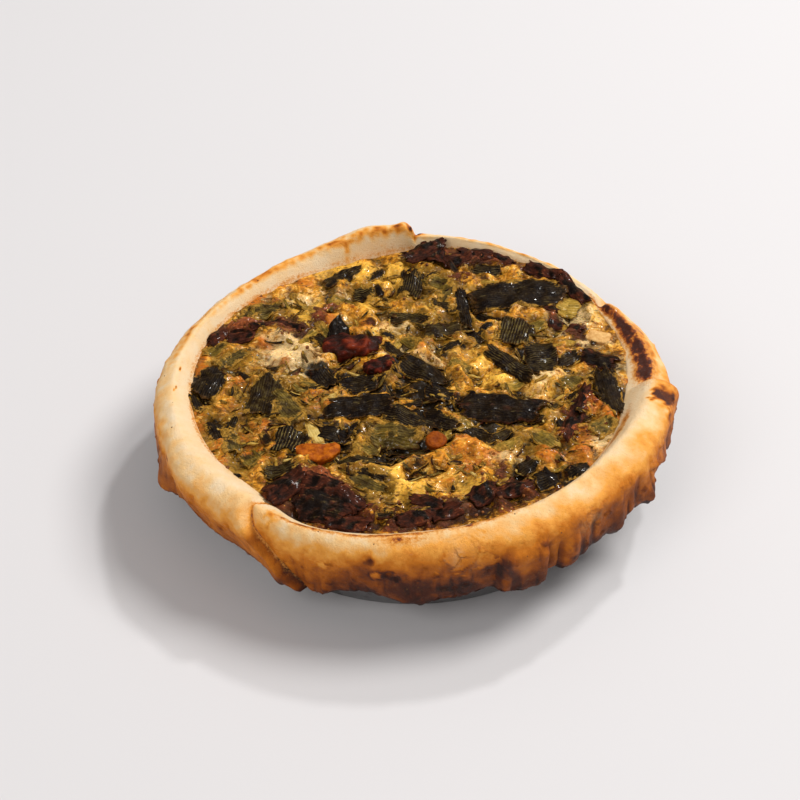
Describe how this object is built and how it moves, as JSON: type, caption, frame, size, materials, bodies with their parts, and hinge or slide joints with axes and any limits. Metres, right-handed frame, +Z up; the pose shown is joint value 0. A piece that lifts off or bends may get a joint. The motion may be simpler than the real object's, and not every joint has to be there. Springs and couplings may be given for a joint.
{
  "type": "spinach tart",
  "caption": "Whole spinach and leek tart with a browned pastry rim folded over its round metal tin and leaves, shreds and slices baked into the filling.",
  "frame": {"origin": "middle of the tin's flat underside, on the surface that the tart stands on", "axes": "+Z up; +X to the right and +Y away from the viewer as in the picture, so the pleated lower edge of the crust faces -Y"},
  "size_m": [0.1823, 0.1734, 0.0468],
  "materials": {
    "tin": "thin pressed sheet, satin with crinkles",
    "crust": "baked pastry, pale inside and browned outside",
    "filling": "baked egg custard, moist and browned",
    "leaf": "cooked dark green leaf, slightly shiny",
    "red_piece": "roasted dark red vegetable, moist",
    "orange_piece": "cooked orange vegetable slice, moist",
    "pale_piece": "cooked pale vegetable slice, moist"
  },
  "bodies": {
    "root": {"tin": "tin", "crust": "crust", "filling": "filling", "leaf_back": "leaf", "leaf_front": "leaf", "leaf_centre": "leaf", "leaf_middle": "leaf", "leaf_ribbed": "leaf", "leaf_square": "leaf", "leaf_rolled": "leaf", "leaf_strip": "leaf", "leaf_back_left": "leaf", "leaf_burnt": "leaf", "leaf_slanted": "leaf", "leaf_pointed": "leaf", "leaf_left": "leaf", "leaf_left_middle": "leaf", "leaf_striped": "leaf", "leaf_framed": "leaf", "leaf_right": "leaf", "red_chunk": "red_piece", "red_chip": "red_piece", "orange_slice": "orange_piece", "coin_slice": "orange_piece", "pale_slice": "pale_piece"}
  },
  "joints": []
}
